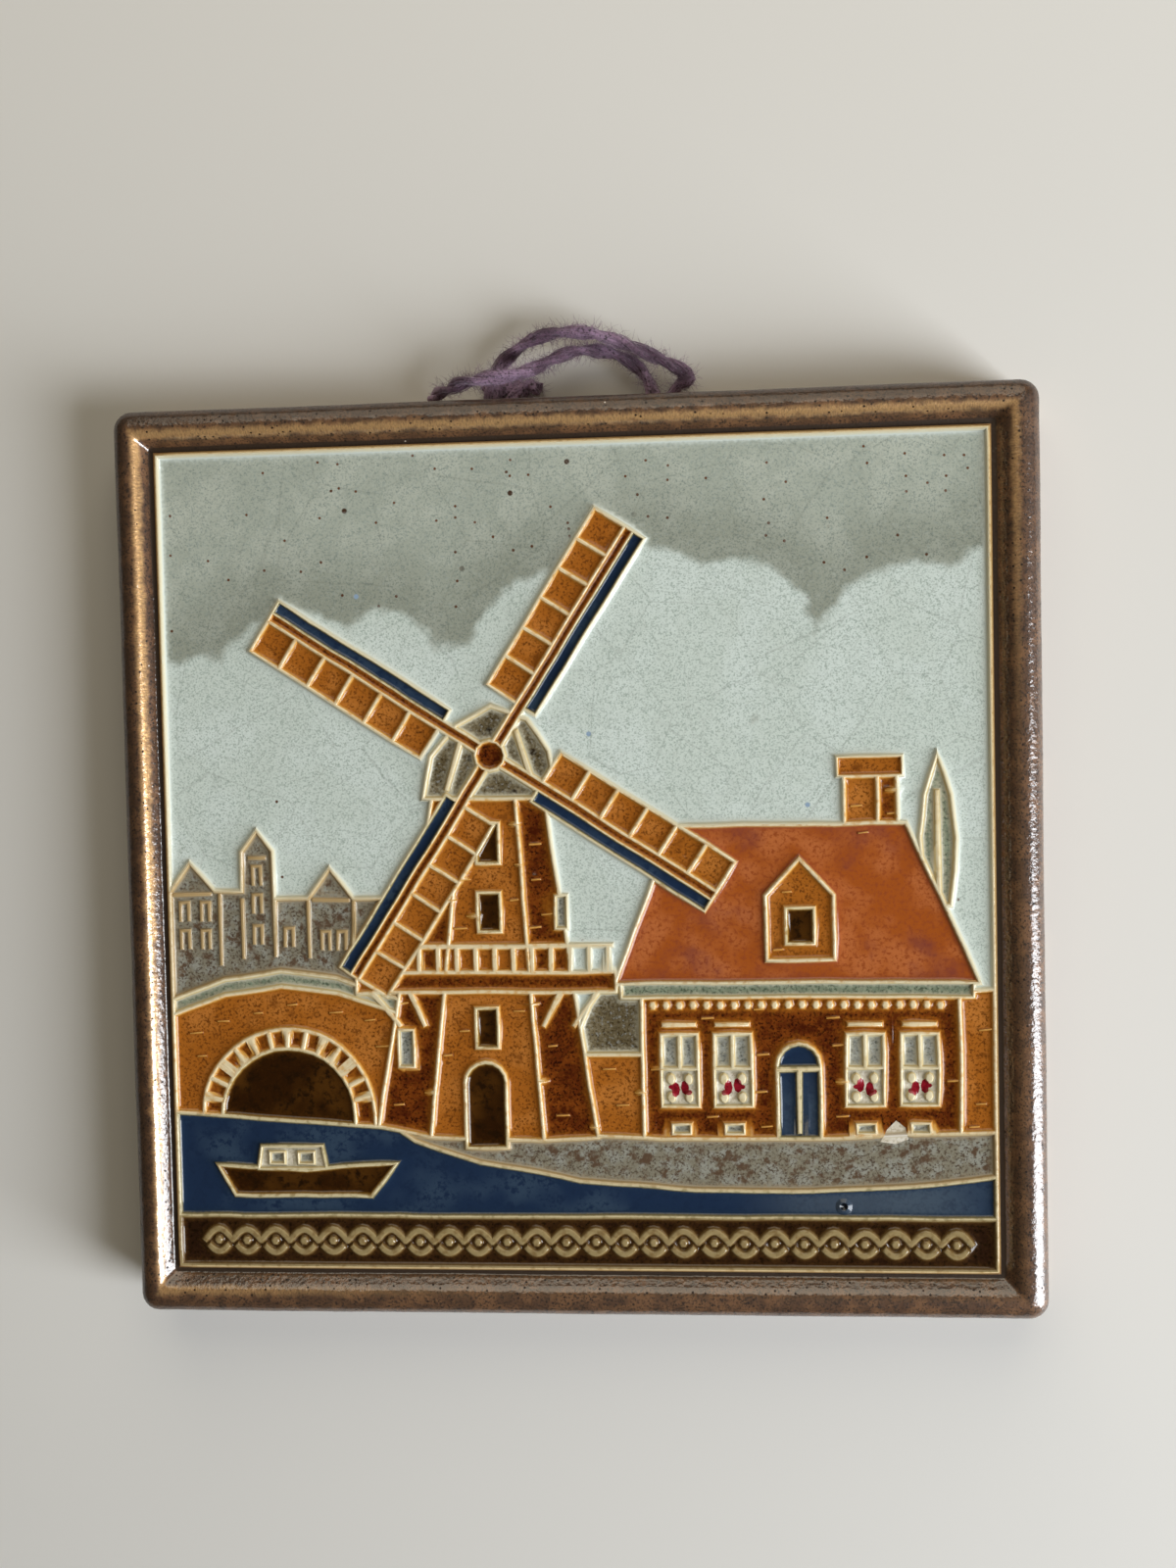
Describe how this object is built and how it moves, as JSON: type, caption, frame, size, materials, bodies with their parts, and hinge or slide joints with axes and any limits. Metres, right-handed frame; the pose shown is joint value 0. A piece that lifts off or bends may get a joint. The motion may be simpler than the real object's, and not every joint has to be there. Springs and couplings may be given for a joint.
{
  "type": "painted ceramic tile",
  "caption": "Square moulded relief tile in coloured glazes, with a sunken picture panel, a rolled bronze-brown frame, a recessed back and a yarn hanging loop.",
  "frame": {"origin": "middle of the foot rim's underside; the tile lies on its back, picture up", "axes": "+X to the right of the picture, +Y to its top edge and hanging holes, +Z out of the glazed face"},
  "size_m": [0.11, 0.119, 0.011],
  "materials": {
    "relief_glaze": "gloss",
    "yarn": "matte"
  },
  "bodies": {
    "root": {"tile": "relief_glaze", "hanging_yarn": "yarn"}
  },
  "joints": []
}
